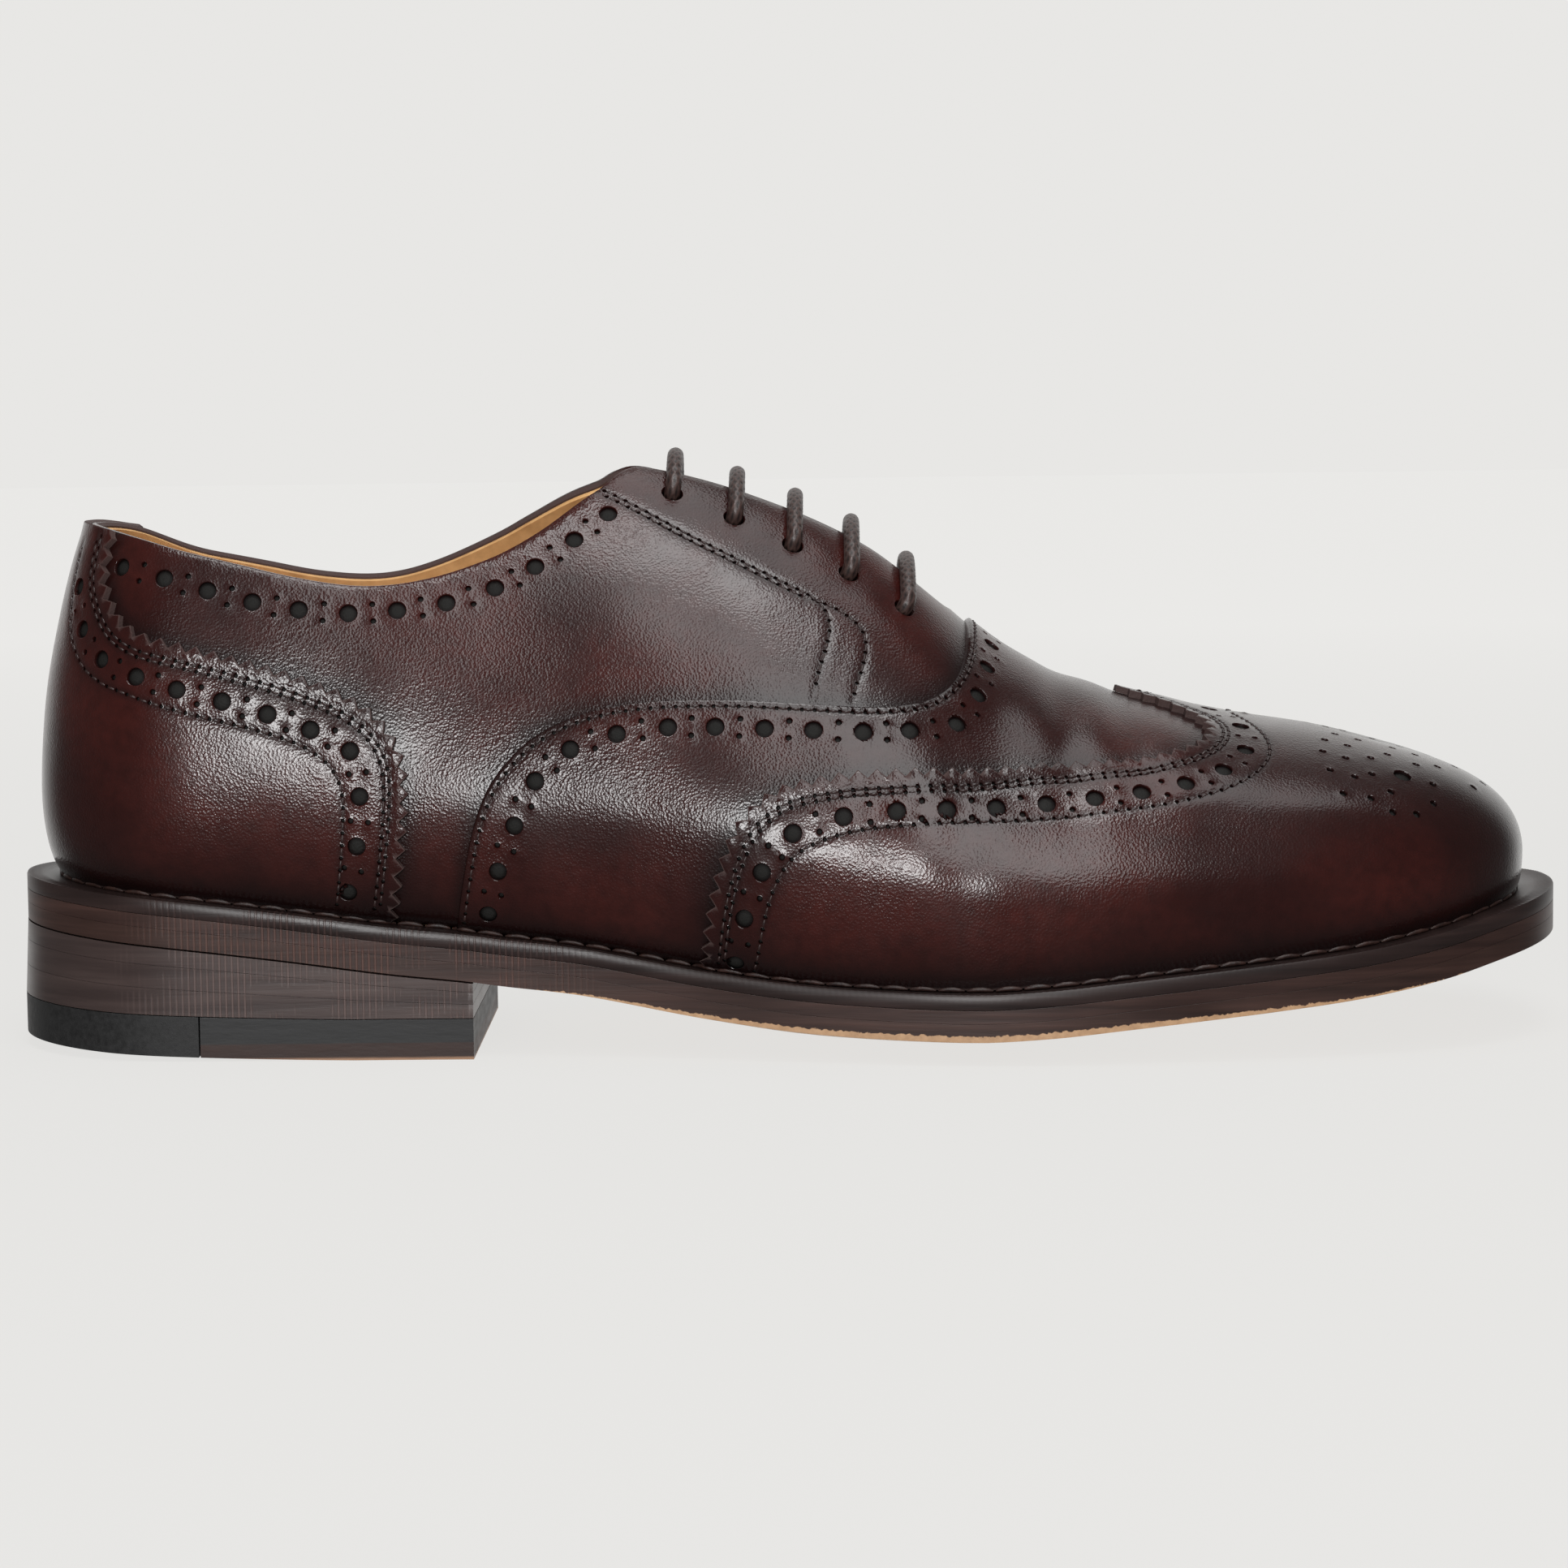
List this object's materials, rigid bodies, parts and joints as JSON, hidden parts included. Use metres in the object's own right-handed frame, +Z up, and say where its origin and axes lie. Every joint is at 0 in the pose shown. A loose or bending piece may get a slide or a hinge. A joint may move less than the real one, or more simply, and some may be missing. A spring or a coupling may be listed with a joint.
{
  "type": "brogue oxford shoe",
  "caption": "Dark brown leather full brogue oxford for the right foot, wing cap, laced throat, stitched welt and stacked heel.",
  "frame": {"origin": "on the floor under the middle of the sole's bounding box", "axes": "+X towards the toe, +Y towards the inner side of the foot, +Z up"},
  "size_m": [0.3056, 0.1055, 0.117],
  "materials": {
    "upper_leather": "burnished dark brown calf, semi-gloss with fine grain",
    "cap_leather": "burnished dark brown calf, polished, with fine grain",
    "tongue_leather": "dark brown calf, satin",
    "welt_leather": "dark stained leather, satin, with reddish brown stitching",
    "sole_edge": "dark stained and waxed leather edge, satin",
    "outsole_leather": "natural tan sole leather, matte, with a dark stained edge",
    "heel_rubber": "black rubber, matte",
    "insole_leather": "natural tan leather, matte",
    "lace_cord": "waxed dark brown round cord, satin"
  },
  "bodies": {
    "root": {"upper": "upper_leather", "vamp": "upper_leather", "wing_cap": "cap_leather", "heel_counter": "cap_leather", "tongue": "tongue_leather", "welt": "welt_leather", "midsole": "sole_edge", "outsole": "outsole_leather", "insole": "insole_leather", "heel_lift_1": "sole_edge", "heel_lift_2": "sole_edge", "heel_lift_3": "sole_edge", "top_piece_leather": "sole_edge", "top_piece_rubber": "heel_rubber", "lace_bar_1": "lace_cord", "lace_bar_2": "lace_cord", "lace_bar_3": "lace_cord", "lace_bar_4": "lace_cord", "lace_bar_5": "lace_cord"}
  },
  "joints": []
}
